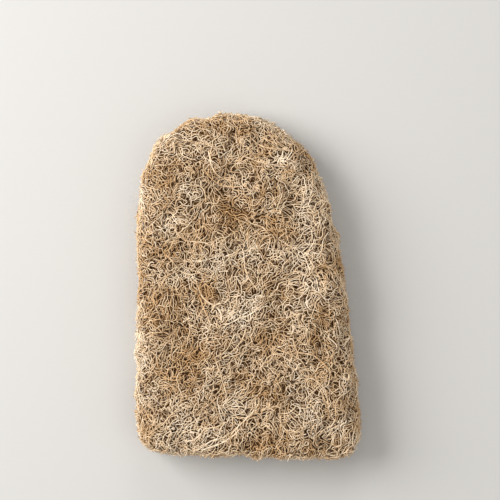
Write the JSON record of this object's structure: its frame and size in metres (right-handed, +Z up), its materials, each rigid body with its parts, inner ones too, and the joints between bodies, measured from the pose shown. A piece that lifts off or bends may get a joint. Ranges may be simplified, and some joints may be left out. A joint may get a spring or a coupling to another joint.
{
  "type": "natural loofah sponge",
  "caption": "Pressed flat loofah sponge: a pillow of dried fibre net with a rounded natural end and a straight cut end, lying flat.",
  "frame": {"origin": "under the middle of the sponge, in the plane that it rests on", "axes": "+Z up through the thickness, +Y towards the narrow natural end, -Y towards the straight cut end, +X to the right seen from above"},
  "size_m": [0.096, 0.1464, 0.0232],
  "materials": {
    "fibre": "dry matt plant fibre, straw to golden brown, in an open net"
  },
  "bodies": {
    "root": {"loofah_sponge": "fibre"}
  },
  "joints": []
}
